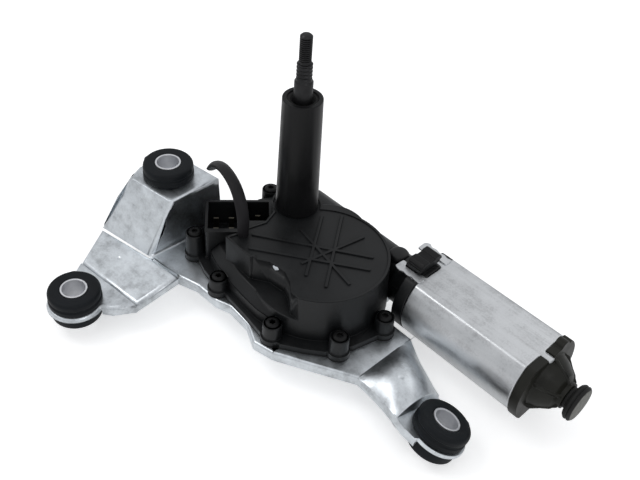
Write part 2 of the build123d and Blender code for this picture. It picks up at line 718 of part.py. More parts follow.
sector_first = radians(rocker_angle + 180 - 180 / sector_teeth)
sector_points = gear_outline(sector_teeth, module_spindle, sector_first, sector_cut,
                             tooth_play * sector_teeth / 10, 1.0, 1.25)

with BuildPart() as sector_link:
    with BuildSketch(upright(pivot_x, pivot_y, sector_bottom)):
        Polygon(*sector_points, (0, 0), align=None)
        Circle(pivot_eye_r + 0.6)
        with Locations(Rotation(0, 0, sector_angle) * Location((sector_arm / 2, 0))):
            Rectangle(sector_arm, 7.0)
        with Locations(Rotation(0, 0, sector_angle) * Location((sector_arm, 0))):
            Circle(4.4)
            Circle(crank_pin_r + running, mode=Mode.SUBTRACT)
        Circle(sector_pin_r, mode=Mode.SUBTRACT)
    extrude(amount=sector_thickness)
write(sector_link.part, "sector_link")

with BuildPart() as sector_pin:
    add(turned([(0, rocker_bottom - 0.7), (4.0, rocker_bottom - 0.7), (4.0, rocker_bottom - 0.1),
                (sector_pin_r, rocker_bottom - 0.1), (sector_pin_r, sector_top), (3.8, sector_top),
                (3.4, sector_top + 0.8), (0, sector_top + 0.8)], pivot_line))
write(sector_pin.part, "sector_pin")

with BuildPart() as rocker_link:
    with BuildSketch(level(rocker_bottom)):
        Circle(rocker_eye_r)
        with Locations(Rotation(0, 0, rocker_angle) * Location((rocker_length / 2, 0))):
            Rectangle(rocker_length, 9.0)
        with Locations((pivot_x, pivot_y)):
            Circle(pivot_eye_r + 0.8)
            Circle(sector_pin_r + running, mode=Mode.SUBTRACT)
        Circle(spindle_r + running, mode=Mode.SUBTRACT)
    extrude(amount=rocker_thickness)
write(rocker_link.part, "rocker_link")

# ---------------------------------------------------------------- armature

worm_r = worm_pitch_r - worm_root
worm_near = worm_start - 4.0
worm_far = worm_start + worm_lead * worm_turns + 4.0

with BuildPart() as worm:
    with BuildLine() as thread_line:
        Helix(pitch=worm_lead, height=worm_lead * worm_turns, radius=worm_pitch_r,
              center=(worm_start, motor_y, motor_z), direction=(1, 0, 0))
    thread_plane = Plane(origin=thread_line.line @ 0, z_dir=thread_line.line % 0,
                         x_dir=thread_line.line @ 0 - Vector(worm_start, motor_y, motor_z))
    with BuildSketch(thread_plane):
        Polygon((-worm_root - 0.3, -worm_thread / 2 - 0.5), (worm_addendum, -worm_thread / 2 + 0.28),
                (worm_addendum, worm_thread / 2 - 0.28), (-worm_root - 0.3, worm_thread / 2 + 0.5),
                align=None)
    sweep(path=thread_line.line, is_frenet=True)
    add(ring(0, worm_r, worm_near, worm_far, motor_line))
    add(ring(0, shaft_r, worm_near, worm_far, motor_line), mode=Mode.SUBTRACT)
write(worm.part, "worm")

with BuildPart() as armature_shaft:
    add(turned([(0, shaft_tip), (shaft_r - 1.2, shaft_tip), (shaft_r, shaft_tip + 1.2),
                (shaft_r, shaft_end - 0.8), (shaft_r - 0.8, shaft_end), (0, shaft_end)], motor_line))
write(armature_shaft.part, "armature_shaft")

with BuildPart() as armature_core:
    add(ring(shaft_r, core_r, core_near, core_far, motor_line))
    with BuildSketch(across_motor(core_near)):
        with PolarLocations(core_r - slot_r - 1.0, slots):
            Circle(slot_r)
    extrude(amount=core_far - core_near, mode=Mode.SUBTRACT)
write(armature_core.part, "armature_core")

with BuildPart() as armature_windings:
    with BuildSketch(across_motor(core_near)):
        with PolarLocations(core_r - slot_r - 1.0, slots):
            Circle(slot_r)
    extrude(amount=core_far - core_near)
    add(turned([(shaft_r + 1.0, core_near - 1.0), (shaft_r + 2.5, core_near - 1.8),
                (core_r - 2.0, core_near - 1.8), (core_r - 0.8, core_near - 0.8), (core_r - 0.8, core_near),
                (shaft_r + 1.0, core_near)],
               motor_line))
    add(turned([(shaft_r + 1.0, core_far), (core_r - 0.8, core_far), (core_r - 0.8, core_far + 3.0),
                (core_r - 2.0, core_far + 4.2), (shaft_r + 2.5, core_far + 4.2),
                (shaft_r + 1.0, core_far + 3.0)],
               motor_line))
write(armature_windings.part, "armature_windings")

with BuildPart() as commutator:
    add(ring(shaft_r, commutator_r, commutator_near, commutator_far, motor_line))
write(commutator.part, "commutator")

# ---------------------------------------------------------------- motor

with BuildPart() as thrust_button:
    add(ring(0, button_in_r, shaft_tip - button_in_length, shaft_tip - running, motor_line))
write(thrust_button.part, "thrust_button")

with BuildPart() as shaft_bearing_front:
    add(ring(shaft_r + running, bearing_r, nose_near, nose_near + bearing_length, motor_line))
write(shaft_bearing_front.part, "shaft_bearing_front")

cup_r = 8.6
cup_end = 149.0
end_wall = 1.0

with BuildPart() as motor_can:
    add(flatted(0.0, can_near, can_far))
    add(flatted(-can_wall, can_near, can_far - end_wall), mode=Mode.SUBTRACT)
    add(ring(0, cup_r, can_far - end_wall, cup_end, motor_line))
    add(ring(0, bearing_r, can_far - end_wall, cup_end - end_wall, motor_line), mode=Mode.SUBTRACT)
    for place in tab_places:
        with Locations((can_near + (tab_overlap - tab_reach) / 2, place,
                        motor_z + can_flat - tab_thickness / 2)):
            Box(tab_reach + tab_overlap, tab_width, tab_thickness)
    with Locations((can_far + 1.8, tongue_y, motor_z + can_flat - tab_thickness / 2)):
        Box(cap_length + 2.6, tongue_width, tab_thickness)
write(motor_can.part, "motor_can")

with BuildPart() as shaft_bearing_rear:
    add(ring(shaft_r + running, bearing_r, can_far - end_wall, cup_end - end_wall - 1.0, motor_line))
write(shaft_bearing_rear.part, "shaft_bearing_rear")

with BuildPart() as field_magnets:
    add(flatted(-can_wall, core_near - 2.0, core_far + 3.0))
    add(ring(0, magnet_inner_r, core_near - 3.0, core_far + 4.0, motor_line), mode=Mode.SUBTRACT)
    with Locations((core_near, motor_y, motor_z)):
        Box(100, 18, 60, mode=Mode.SUBTRACT)
write(field_magnets.part, "field_magnets")

card_near = 78.0
card_far = 80.5
brush_half = 3.0
brush_near = commutator_near + 3.0
brush_far = commutator_far - 2.0
brush_end = commutator_r + running + 6.0
brush_middle = (commutator_r + brush_end + 1.0) / 2
holder_wall = 0.8

with BuildPart() as brush_card:
    add(flatted(-can_wall, card_near, card_far))
    add(ring(0, commutator_r + 2.0, card_near - 1, card_far + 1, motor_line), mode=Mode.SUBTRACT)
    for side in (-1, 1):
        with Locations(((card_far + brush_far + holder_wall) / 2, motor_y + side * 13.5, motor_z)):
            Box(brush_far + holder_wall - card_far, 9.0, 2 * (brush_half + holder_wall))
    with Locations(((brush_near + brush_far) / 2, motor_y, motor_z)):
        Box(brush_far - brush_near, 60, 2 * brush_half, mode=Mode.SUBTRACT)
write(brush_card.part, "brush_card")

with BuildPart() as carbon_brushes:
    for side in (-1, 1):
        with Locations(((brush_near + brush_far) / 2, motor_y + side * brush_middle, motor_z)):
            Box(brush_far - brush_near, brush_end - commutator_r + 1.0, 2 * brush_half)
    add(ring(0, commutator_r + running, commutator_near, commutator_far, motor_line), mode=Mode.SUBTRACT)
write(carbon_brushes.part, "carbon_brushes")

with BuildPart() as can_clip:
    with BuildSketch(across_motor(65.5)):
        with BuildLine():
            Polyline((-7.6, neck_r + 5.0), (-7.6, neck_r + 6.6), (-5.8, neck_r + 8.2), (-2.4, neck_r + 8.2),
                     (-1.8, neck_r + 7.2), (1.8, neck_r + 7.2), (2.4, neck_r + 8.2), (5.8, neck_r + 8.2),
                     (7.6, neck_r + 6.6), (7.6, neck_r + 5.0), (-7.6, neck_r + 5.0))
        make_face()
    extrude(amount=8.9)
write(can_clip.part, "can_clip")

# ---------------------------------------------------------------- end cap and buffer

cap_ribs = 6
cap_rib_r = 15.5
cap_rib_width = 1.6
cap_lug_y = 30.5
button_height = 4.0
stem_r = 3.0

with BuildPart() as end_cap:
    add(flatted(0.8, can_far, can_far + cap_length))
    add(turned([(0, cap_face), (14.6, cap_face), (13.0, cap_face + 0.32 * cap_cone),
                (9.5, cap_face + 0.72 * cap_cone), (6.8, neck_end - 0.16 * cap_cone), (6.8, neck_end),
                (0, neck_end)],
               motor_line))
    for k in range(cap_ribs):
        spoke = radians(30 + 360 * k / cap_ribs)
        with BuildSketch(Plane(origin=motor_line.origin, x_dir=(1, 0, 0),
                               z_dir=(0, sin(spoke), -cos(spoke)))):
            Polygon((can_far + 2.0, 5.0), (can_far + 2.0, cap_rib_r), (cap_face + 2.0, cap_rib_r),
                    (neck_end - 1.0, 7.4), (neck_end - 1.0, 5.0), align=None)
        extrude(amount=cap_rib_width / 2, both=True)
    with Locations((can_far + cap_length / 2, cap_lug_y, motor_z + can_flat)):
        Cylinder(3.2, cap_length, rotation=(0, 90, 0))
    with Locations((can_far + cap_length / 2, tongue_y, motor_z + can_flat)):
        Box(cap_length, tongue_width + 0.4, 2 * tab_thickness, mode=Mode.SUBTRACT)
    add(ring(0, cup_r, can_far, cup_end, motor_line), mode=Mode.SUBTRACT)
    add(ring(0, stem_r, cup_end + 3.0, neck_end, motor_line), mode=Mode.SUBTRACT)
write(end_cap.part, "end_cap")

with BuildPart() as end_buffer:
    add(turned([(0, cup_end + 3.0), (stem_r, cup_end + 3.0), (stem_r, neck_end), (5.6, neck_end),
                (5.6, neck_end + 1.6), (button_r - 1.0, button_x - button_height), (button_r, button_x - 2.8),
                (button_r, button_x - 2.0), (button_r - 0.7, button_x - 1.6), (button_r, button_x - 1.2),
                (button_r, button_x - 0.6), (button_r - 1.0, button_x + 0.4), (0, button_x + 0.9)],
               motor_line))
write(end_buffer.part, "end_buffer")
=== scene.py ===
import json
import math

import bmesh
import bpy
import numpy as np
from mathutils import Matrix, Vector


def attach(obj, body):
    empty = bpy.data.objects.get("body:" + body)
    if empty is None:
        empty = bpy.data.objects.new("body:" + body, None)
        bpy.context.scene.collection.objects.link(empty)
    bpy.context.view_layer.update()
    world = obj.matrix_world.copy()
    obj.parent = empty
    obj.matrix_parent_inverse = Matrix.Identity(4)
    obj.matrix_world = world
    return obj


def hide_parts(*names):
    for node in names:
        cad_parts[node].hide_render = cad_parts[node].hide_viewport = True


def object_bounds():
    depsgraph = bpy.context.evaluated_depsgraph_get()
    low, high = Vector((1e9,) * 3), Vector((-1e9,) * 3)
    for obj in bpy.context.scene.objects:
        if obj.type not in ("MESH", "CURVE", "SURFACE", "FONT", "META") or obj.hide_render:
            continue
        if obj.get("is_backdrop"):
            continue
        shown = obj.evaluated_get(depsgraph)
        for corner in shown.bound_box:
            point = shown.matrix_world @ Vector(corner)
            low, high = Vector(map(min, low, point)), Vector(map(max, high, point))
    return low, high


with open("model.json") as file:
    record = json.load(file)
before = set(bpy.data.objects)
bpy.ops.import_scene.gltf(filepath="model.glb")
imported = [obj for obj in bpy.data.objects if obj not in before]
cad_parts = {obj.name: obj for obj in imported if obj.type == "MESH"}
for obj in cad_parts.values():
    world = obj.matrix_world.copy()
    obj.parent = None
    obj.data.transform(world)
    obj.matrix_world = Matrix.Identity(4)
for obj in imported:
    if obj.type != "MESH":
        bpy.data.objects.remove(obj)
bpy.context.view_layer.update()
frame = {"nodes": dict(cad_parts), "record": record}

bl_info = {
    "name": "Rear wiper motor",
    "version": (1, 0, 0),
    "blender": (4, 5, 0),
    "location": "View3D > Sidebar > Wiper Motor",
    "description": "Builds the visible pieces of a rear wiper motor over its engineering model",
    "category": "Object",
}

MM = 0.001
DECK = -112.0                  # top of the bracket's plate in millimetres, below the wiper arm's seat
DIMPLES = ((-52.5, -76.5, DECK - 0.6), (101.5, -26.3, DECK + 5.0))     # pressed in the bracket
SLOT_OF = {entry["node"]: entry["material_slot"] for entry in frame["record"]["subparts"]}
SLOT_OF.update(end_cap="cap_nylon", end_buffer="button_rubber")
MADE = {}                      # materials made so far, by slot
BODY_OF = {node: body for body, nodes in frame["record"]["behaviour"]["bodies"].items() for node in nodes}


# ------------------------------------------------------------------ colours and shader nodes

def linear(colour):
    """Linear RGBA of an sRGB hex colour such as #3a3a3a."""
    channels = [int(colour[k:k + 2], 16) / 255 for k in (1, 3, 5)]
    return tuple(c / 12.92 if c <= 0.04045 else ((c + 0.055) / 1.055) ** 2.4 for c in channels) + (1.0,)


def scaled(colour, factor):
    """Linear colour made lighter or darker."""
    return tuple(c * factor for c in colour[:3]) + (1.0,)


class Shader:
    """A material's node tree, with one method that adds a node, its settings and its links."""

    def __init__(self, name):
        self.material = bpy.data.materials.new(name)
        self.material.use_nodes = True
        self.tree = self.material.node_tree
        self.tree.nodes.clear()

    def add(self, kind, inputs=None, **settings):
        """Adds a node; inputs maps a socket's name or index to a value or to another node's output."""
        made = self.tree.nodes.new("ShaderNode" + kind)
        for key, value in settings.items():
            setattr(made, key, value)
        for key, value in (inputs or {}).items():
            if isinstance(value, bpy.types.NodeSocket):
                self.tree.links.new(value, made.inputs[key])
            else:
                made.inputs[key].default_value = value
        return made

    def ramp(self, factor, stops):
        """Colour ramp through (position, linear colour) stops."""
        made = self.add("ValToRGB", {"Fac": factor})
        elements = made.color_ramp.elements
        while len(elements) < len(stops):
            elements.new(0.5)
        for element, (position, colour) in zip(elements, stops):
            element.position = position
            element.color = colour
        return made.outputs["Color"]

    def span(self, value, low, high, start=0.0, end=1.0):
        """Value from start..end mapped to low..high."""
        made = self.add("MapRange", {"Value": value, "From Min": start, "From Max": end,
                                     "To Min": low, "To Max": high})
        return made.outputs["Result"]

    def noise(self, vector, feature_mm, detail=3.0, roughness=0.5):
        """Noise whose blotches are about feature_mm across."""
        made = self.add("TexNoise", {"Vector": vector, "Scale": 1000.0 / feature_mm, "Detail": detail,
                                     "Roughness": roughness})
        return made.outputs["Fac"]

    def stretched(self, vector, sizes_mm, detail=3.0):
        """Noise whose features have the given sizes along X, Y and Z."""
        fitted = self.add("Mapping", {"Vector": vector, "Scale": tuple(1.0 / size for size in sizes_mm)})
        return self.noise(fitted.outputs["Vector"], 1.0, detail)

    def sum(self, first, second, share=1.0):
        """First value plus a share of the second."""
        made = self.add("Math", {0: second, 1: share, 2: first}, operation="MULTIPLY_ADD")
        return made.outputs["Value"]

    def bump(self, height, depth_mm, strength=1.0, normal=None):
        """Bumped normal for a height of 0..1 that stands for depth_mm."""
        inputs = {"Height": height, "Strength": strength, "Distance": depth_mm * MM}
        if normal:
            inputs["Normal"] = normal
        return self.add("Bump", inputs).outputs["Normal"]

    def object_place(self):
        return self.add("TexCoord").outputs["Object"]

    def finish(self, surface):
        self.add("OutputMaterial", {"Surface": surface})
        return self.material


def moulded(name, colour, roughness, grain_mm, grain_depth_mm, lift=1.5, specular=0.22, painted_crease_shade_mm=0.0):
    """Moulded plastic or rubber: an even colour, faint handling marks and a fine mould grain.

    Given a crease distance in millimetres, corners narrower than that lose their sheen: painted shade that darkens
    the creases."""
    s = Shader(name)
    place = s.object_place()
    cloud = s.noise(place, 16.0, 5.0, 0.55)
    grain = s.noise(place, grain_mm, 2.0)
    dust = s.noise(place, 1.6, 4.0, 0.7)
    shade = s.ramp(s.sum(cloud, dust, 0.25), [(0.45, scaled(colour, 1.0)), (0.80, scaled(colour, lift))])
    rough = s.span(s.sum(cloud, dust, 0.3), roughness - 0.07, roughness + 0.09, 0.45, 0.85)
    normal = s.bump(grain, grain_depth_mm, 0.5)
    if painted_crease_shade_mm:
        # painted shade: ambient occlusion takes the sheen out of narrow corners and creases, so they read dark
        open_sky = s.add("AmbientOcclusion", {"Distance": painted_crease_shade_mm * MM}, samples=8).outputs["AO"]
        specular = s.span(open_sky, 0.0, specular, 0.35, 0.95)
    body = s.add("BsdfPrincipled", {"Base Color": shade, "Roughness": rough, "Normal": normal,
                                    "Specular IOR Level": specular})
    return s.finish(body.outputs["BSDF"])


def zinc_sheet(name, colour):
    """Bright zinc plate on pressed sheet: blotchy spangle, rolling streaks, press marks and two dimples.

    A slow wave in the surface breaks up the reflections the way a pressed sheet does."""
    s = Shader(name)
    place = s.object_place()
    wave = s.noise(place, 26.0, 1.0)
    blotch = s.noise(place, 7.0, 5.0, 0.62)
    speck = s.noise(place, 1.1, 3.0, 0.6)
    streak = s.stretched(place, (45.0, 2.4, 2.4))
    tone = s.sum(s.sum(s.sum(s.sum(0.0, blotch, 0.75), speck, 0.2), streak, 0.15), wave, 0.4)
    shade = s.ramp(tone, [(0.58, scaled(colour, 0.66)), (0.72, scaled(colour, 0.95)),
                          (0.88, scaled(colour, 1.15))])
    rough = s.span(s.sum(blotch, speck, 0.4), 0.30, 0.38, 0.45, 0.95)
    dimple = 1.0
    for centre in DIMPLES:
        away = s.add("VectorMath", {0: place, 1: tuple(c * MM for c in centre)}, operation="DISTANCE")
        edge = s.span(away.outputs["Value"], 0.0, 1.0, 0.5 * MM, 1.6 * MM)
        dimple = s.add("Math", {0: dimple, 1: edge}, operation="MULTIPLY").outputs["Value"]
    normal = s.bump(wave, 1.1, 0.6)
    normal = s.bump(s.sum(s.sum(0.0, blotch, 0.6), speck, 0.3), 0.01, 0.5, normal)
    normal = s.bump(dimple, 0.5, 0.8, normal)
    body = s.add("BsdfPrincipled", {"Base Color": shade, "Roughness": rough, "Metallic": 1.0,
                                    "Normal": normal})
    return s.finish(body.outputs["BSDF"])


def zinc_can(name, colour):
    """Zinc plate on a deep-drawn can: dull, with draw streaks along it and a few flat stains."""
    s = Shader(name)
    place = s.object_place()
    draw = s.stretched(place, (70.0, 1.1, 1.1), 4.0)
    band = s.stretched(place, (90.0, 5.0, 5.0), 2.0)
    stain = s.noise(place, 9.0, 5.0, 0.6)
    speck = s.noise(place, 0.9, 2.0)
    tone = s.sum(s.sum(s.sum(s.sum(0.0, draw, 0.15), band, 0.3), stain, 0.45), speck, 0.2)
    shade = s.ramp(tone, [(0.42, scaled(colour, 0.72)), (0.56, scaled(colour, 1.0)),
                          (0.70, scaled(colour, 1.1))])
    rough = s.span(tone, 0.30, 0.48, 0.45, 0.75)
    normal = s.bump(draw, 0.03, 0.5)
    normal = s.bump(stain, 0.12, 0.35, normal)
    body = s.add("BsdfPrincipled", {"Base Color": shade, "Roughness": rough, "Metallic": 1.0,
                                    "Normal": normal})
    return s.finish(body.outputs["BSDF"])


def dusty_rubber_painted_highlight(name, colour, dust, roughness):
    """Rubber whose end face toward +X is painted pale, partly as dust and partly as a painted highlight where the
    light falls on it; the mask reads the surface's own normal.
    """
    s = Shader(name)
    place = s.object_place()
    cloud = s.noise(place, 2.2, 4.0, 0.65)
    # mask: faces looking toward +X, the side the light falls on, get the pale colour: dust and a painted highlight
    facing = s.add("SeparateXYZ", {"Vector": s.add("NewGeometry").outputs["Normal"]}).outputs["X"]
    dust_and_highlight = s.add("Math", {0: s.span(facing, 0.0, 1.0, 0.75, 0.95), 1: s.span(cloud, 0.55, 1.0, 0.35, 0.6)},
                 operation="MULTIPLY")
    shade = s.ramp(dust_and_highlight.outputs["Value"], [(0.0, scaled(colour, 1.0)), (1.0, scaled(dust, 1.0))])
    body = s.add("BsdfPrincipled", {"Base Color": shade, "Roughness": roughness, "Specular IOR Level": 0.3,
                                    "Normal": s.bump(cloud, 0.04, 0.5)})
    return s.finish(body.outputs["BSDF"])


def turned_metal(name, colour, roughness, metallic=1.0, dull=0.7):
    """Turned or drawn metal: fine marks and small stains over an even colour."""
    s = Shader(name)
    place = s.object_place()
    marks = s.noise(place, 0.7, 3.0)
    cloud = s.noise(place, 6.0, 4.0, 0.6)
    shade = s.ramp(cloud, [(0.35, scaled(colour, dull)), (0.65, scaled(colour, 1.0))])
    rough = s.span(marks, roughness - 0.06, roughness + 0.08, 0.3, 0.7)
    body = s.add("BsdfPrincipled", {"Base Color": shade, "Roughness": rough, "Metallic": metallic,
                                    "Normal": s.bump(marks, 0.02, 0.4)})
    return s.finish(body.outputs["BSDF"])


def material_table(finish):
    """How each material slot is made."""
    return {
        # bright zinc over cold-rolled sheet: blotchy grey with sharp bright bends
        "zinc_plated_sheet": lambda: zinc_sheet("pressed_sheet_zinc_plated", tuple(finish.zinc)),
        # the drawn can is plated the same way but stays duller and streaks along its length
        "zinc_plated_can": lambda: zinc_can("drawn_can_zinc_plated", tuple(finish.can)),
        # glass-filled nylon of the gear case: near black, a soft sheen, and painted shade: the sheen taken out of
        # its corners, which draws dark lines there
        "dark_nylon": lambda: moulded("glass_nylon_moulded", tuple(finish.nylon), 0.40, 0.5, 0.05, 2.0,
                                      0.34, 4.0),
        # plainer black nylon of tube and cap: deeper, a little smoother
        "black_nylon": lambda: moulded("black_nylon_moulded", linear("#0e0e0f"), 0.36, 0.6, 0.03),
        # the pipe's softer nylon is a greyer, duller black
        "hose_nylon": lambda: moulded("nylon_hose_extruded", linear("#161517"), 0.55, 0.8, 0.03),
        # carbon-black rubber: wide dull highlights
        "black_rubber": lambda: moulded("black_rubber_moulded", linear("#121212"), 0.60, 0.8, 0.04),
        # the end button's rubber, its face painted pale: dust and a painted highlight
        "button_rubber": lambda: dusty_rubber_painted_highlight("button_rubber_dust_and_highlight", linear("#161615"), linear("#7b7b76"),
                                              0.62),
        # the end cap's nylon leans to olive
        "cap_nylon": lambda: moulded("cap_nylon_moulded", linear("#1b1b17"), 0.42, 0.6, 0.03),
        # blue-black rubber of the grommets, a little waxy
        "grommet_rubber": lambda: moulded("grommet_rubber_moulded", tuple(finish.rubber), 0.50, 0.9, 0.03,
                                          1.5, 0.16),
        # black oxide leaves steel dark with a dull metal glint
        "black_steel": lambda: turned_metal("steel_black_oxide", linear("#363637"), 0.40, 0.85),
        # phosphated screws: almost as black as the bosses, with a faint metal rim
        "zinc_screw": lambda: turned_metal("screw_steel_phosphated", linear("#0e0e0f"), 0.55, 0.5),
        # zinc-plated tube of the sleeves: pale and cloudy
        "zinc_sleeve": lambda: turned_metal("drawn_sleeve_zinc_plated", linear("#e8e9ec"), 0.46, 1.0, 0.85),
        # ground steel of shafts and links: mid grey, the smoothest of the inner metals
        "gear_steel": lambda: turned_metal("steel_ground", linear("#a9a9aa"), 0.32),
        # sintered bronze bushes: a dull brown gold
        "sintered_bronze": lambda: turned_metal("bronze_sintered", linear("#a8834f"), 0.50),
        # enamelled copper: a warm red glint
        "copper_wire": lambda: turned_metal("copper_enamelled", linear("#b06a3c"), 0.35),
        # laminated core iron: dark, rough grey
        "core_iron": lambda: turned_metal("core_iron_laminated", linear("#6d6e70"), 0.48),
        # tinned brass blades, dark with age: a small warm glint in the socket
        "tinned_brass": lambda: turned_metal("brass_tinned", linear("#6b675c"), 0.38),
        # acetal: milky white, slightly waxy
        "white_acetal": lambda: moulded("acetal_moulded", linear("#cfccc4"), 0.38, 1.5, 0.01, 1.1),
        # ferrite magnets: matte dark grey, like slate
        "ferrite": lambda: moulded("ferrite_sintered", linear("#3c3c3e"), 0.70, 0.6, 0.05),
        # pressed phenolic of the brush card: brown and half matte
        "brown_phenolic": lambda: moulded("phenolic_pressed", linear("#5a3a22"), 0.50, 0.7, 0.02),
        # pressed carbon brushes: soft grey-black
        "carbon": lambda: moulded("carbon_pressed", linear("#2c2c2e"), 0.62, 0.5, 0.02),
        # dab of inspection paint: chalky white
        "inspection_paint": lambda: moulded("inspection_paint_dab", linear("#d8dde2"), 0.55, 0.4, 0.05, 1.05),
    }


def slot_material(name):
    """The material of a slot, made once."""
    if name not in MADE:
        MADE[name] = material_table(bpy.context.scene.wiper_finish)[name]()
    return MADE[name]


# ------------------------------------------------------------------ meshes

def mesh_object(name, points, faces, slot, body, replaced=(), crease=35.0):
    """Object from arrays of points in millimetres and faces, riding on a body."""
    mesh = bpy.data.meshes.new(name)
    mesh.from_pydata((np.asarray(points, float) * MM).tolist(), [], [list(map(int, f)) for f in faces])
    mesh.validate()
    mesh.update()
    made = bpy.data.objects.new(name, mesh)
    bpy.context.scene.collection.objects.link(made)
    mesh.polygons.foreach_set("use_smooth", [True] * len(mesh.polygons))
    mesh.set_sharp_from_angle(angle=math.radians(crease))
    mesh.materials.append(slot_material(slot))
    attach(made, body)
    if replaced:
        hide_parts(*replaced)
    return made


def grid_faces(rows, columns, wrap_rows=False, wrap_columns=True, start=0):
    """Quads of a rows x columns grid of points, wrapped where it closes."""
    R, C = np.meshgrid(np.arange(rows if wrap_rows else rows - 1),
                       np.arange(columns if wrap_columns else columns - 1), indexing="ij")
    nr, nc = (R + 1) % rows, (C + 1) % columns
    quads = np.stack([R * columns + C, R * columns + nc, nr * columns + nc, nr * columns + C], -1)
    return quads.reshape(-1, 4) + start


def capped_faces(rows, columns):
    """Faces of a grid of rings whose first and last ring close onto one pole point each.

    The poles follow the rows x columns ring points: first pole, then last pole."""
    faces = [list(q) for q in grid_faces(rows, columns)]
    first, last = rows * columns, rows * columns + 1
    top = (rows - 1) * columns
    for k in range(columns):
        n = (k + 1) % columns
        faces.append([first, n, k])
        faces.append([last, top + k, top + n])
    return faces


def rounded(profile, radius, steps=3, closed=False):
    """Polyline with every corner rounded: (1-t)^2 A + 2t(1-t) P + t^2 B from A to B about the corner P."""
    points = [np.array(p, float) for p in profile]
    made = []
    count = len(points)
    for k, corner in enumerate(points):
        if not closed and k in (0, count - 1):
            made.append(corner)
            continue
        before, after = points[k - 1] - corner, points[(k + 1) % count] - corner
        reach = min(radius, 0.45 * np.linalg.norm(before), 0.45 * np.linalg.norm(after))
        a = corner + before / np.linalg.norm(before) * reach
        b = corner + after / np.linalg.norm(after) * reach
        for t in np.linspace(0, 1, steps + 1):
            made.append((1 - t) ** 2 * a + 2 * t * (1 - t) * corner + t ** 2 * b)
    return np.array(made)


def axes_of(origin, direction, across=(1.0, 0.0, 0.0)):
    """Origin and three unit vectors: across, beside, along the direction."""
    along = np.array(direction, float)
    along /= np.linalg.norm(along)
    side = np.array(across, float) - np.dot(across, along) * along
    side /= np.linalg.norm(side)
    return np.array(origin, float), side, np.cross(along, side), along


def revolved(profile, columns, axes):
    """Ring points P = O + r cos(a) X + r sin(a) Y + h Z for each (r, h) of a profile; r may be r(a)."""
    origin, side, beside, along = axes
    angle = np.linspace(0, 2 * math.pi, columns, endpoint=False)
    r = np.asarray(profile[0], float)
    h = np.asarray(profile[1], float)
    r = r[:, None] * np.ones(columns) if r.ndim == 1 else r
    h = h[:, None] * np.ones(columns) if h.ndim == 1 else h
    return (origin + (r * np.cos(angle))[..., None] * side + (r * np.sin(angle))[..., None] * beside
            + h[..., None] * along).reshape(-1, 3)


def rounded_copy(node, width_of, segments=3, angle=20.0, name=None):
    """Merged copy of an engineering mesh with its edges rounded.

    width_of(middle, direction, normals, convex, length) gives an edge's rounding in millimetres."""
    source = frame["nodes"][node]
    made = source.copy()
    made.data = source.data.copy()
    made.name = name or node + "_moulded"
    bpy.context.scene.collection.objects.link(made)
    bm = bmesh.new()
    bm.from_mesh(made.data)
    bmesh.ops.remove_doubles(bm, verts=bm.verts, dist=2e-6)
    bmesh.ops.dissolve_limit(bm, angle_limit=math.radians(0.5), verts=bm.verts, edges=bm.edges)
    bmesh.ops.recalc_face_normals(bm, faces=bm.faces)
    weight = bm.edges.layers.float.new("bevel_weight_edge")
    widths = {}
    for edge in bm.edges:
        if len(edge.link_faces) != 2 or edge.calc_face_angle(0.0) < math.radians(angle):
            continue
        a, b = (v.co for v in edge.verts)
        normals = [face.normal for face in edge.link_faces]
        widths[edge.index] = width_of((a + b) / 2 / MM, (b - a).normalized(), normals, edge.is_convex,
                                      edge.calc_length() / MM)
    widest = max(widths.values())
    for edge in bm.edges:
        edge[weight] = widths.get(edge.index, 0.0) / widest
    for face in bm.faces:
        face.smooth = True
    bm.to_mesh(made.data)
    bm.free()
    bevel = made.modifiers.new("rounded", "BEVEL")
    bevel.width = widest * MM
    bevel.segments = segments
    bevel.limit_method = "WEIGHT"
    bevel.use_clamp_overlap = False
    bevel.miter_outer = "MITER_ARC"
    shade = made.modifiers.new("flat_faces", "WEIGHTED_NORMAL")
    shade.weight = 100
    shade.keep_sharp = False
    made.data.materials.clear()
    made.data.materials.append(slot_material(SLOT_OF[node]))
    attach(made, BODY_OF[node])
    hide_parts(node)
    return made


# ------------------------------------------------------------------ pieces

# Places in millimetres: each screw's x, y and the height of its head's seat over the plate, and each
# grommet's middle on the sheet with the axis it stands on.
SCREWS = [(-27.5, -45.2, 15.2), (0.7, -52.3, 9.0), (42.2, -53.0, 10.2), (69.5, -35.2, 11.2),
          (74.3, -9.2, 10.4), (-29.5, 8.5, 15.4), (-19.5, 21.0, 15.4)]
WHEEL_AXLE = (34.7, -15.0)
FEET = {"upper": ((-59.4, -37.3, DECK + 31.0), (0, 0, 1)), "left": ((-43.4, -108.2, DECK - 4.0), (0, 0, 1)),
        "right": ((127.4, -27.5, DECK - 7.6), (0.15, 0.38, 0.91))}
CASE_TOP = DECK + 28.4
CASE_FLANGE = DECK + 4.2       # just over the case's flange
CAN_TOP = DECK + 24.0


def dress_nodes():
    """Gives every engineering node its slot's material."""
    for node, obj in frame["nodes"].items():
        obj.data.materials.clear()
        obj.data.materials.append(slot_material(SLOT_OF[node]))


def build_bracket(settings):
    """Pressed steel bracket: wide bends on its outer skin, a small radius under it, crisp cut edges."""
    grommet_hole, screw_hole, axle_hole = 10.4, 2.8, 3.8        # reach round each hole's middle
    arm_start, plate_start = 84.0, -14.0                        # along X
    holes = [(place, grommet_hole) for place, _ in FEET.values()]
    holes += [((x, y, DECK), screw_hole) for x, y, _ in SCREWS] + [((*WHEEL_AXLE, DECK), axle_hole)]
    bend, cut = settings.bend / MM, settings.cut / MM

    def width_of(middle, direction, normals, convex, length):
        if any((middle - Vector(centre)).length < radius for centre, radius in holes):
            return cut
        upward = max(n.z for n in normals) > 0.25
        downward = min(n.z for n in normals) < -0.3
        if abs(direction.z) > 0.9 and not upward:
            return 0.0
        if downward or not upward:
            return cut
        share = 1.0 if middle.x < plate_start else 0.65 if middle.x < arm_start else 0.12
        return share * (bend if convex else 0.7 * bend)

    return rounded_copy("mounting_bracket", width_of, 4, 9.0, "bracket_pressing")


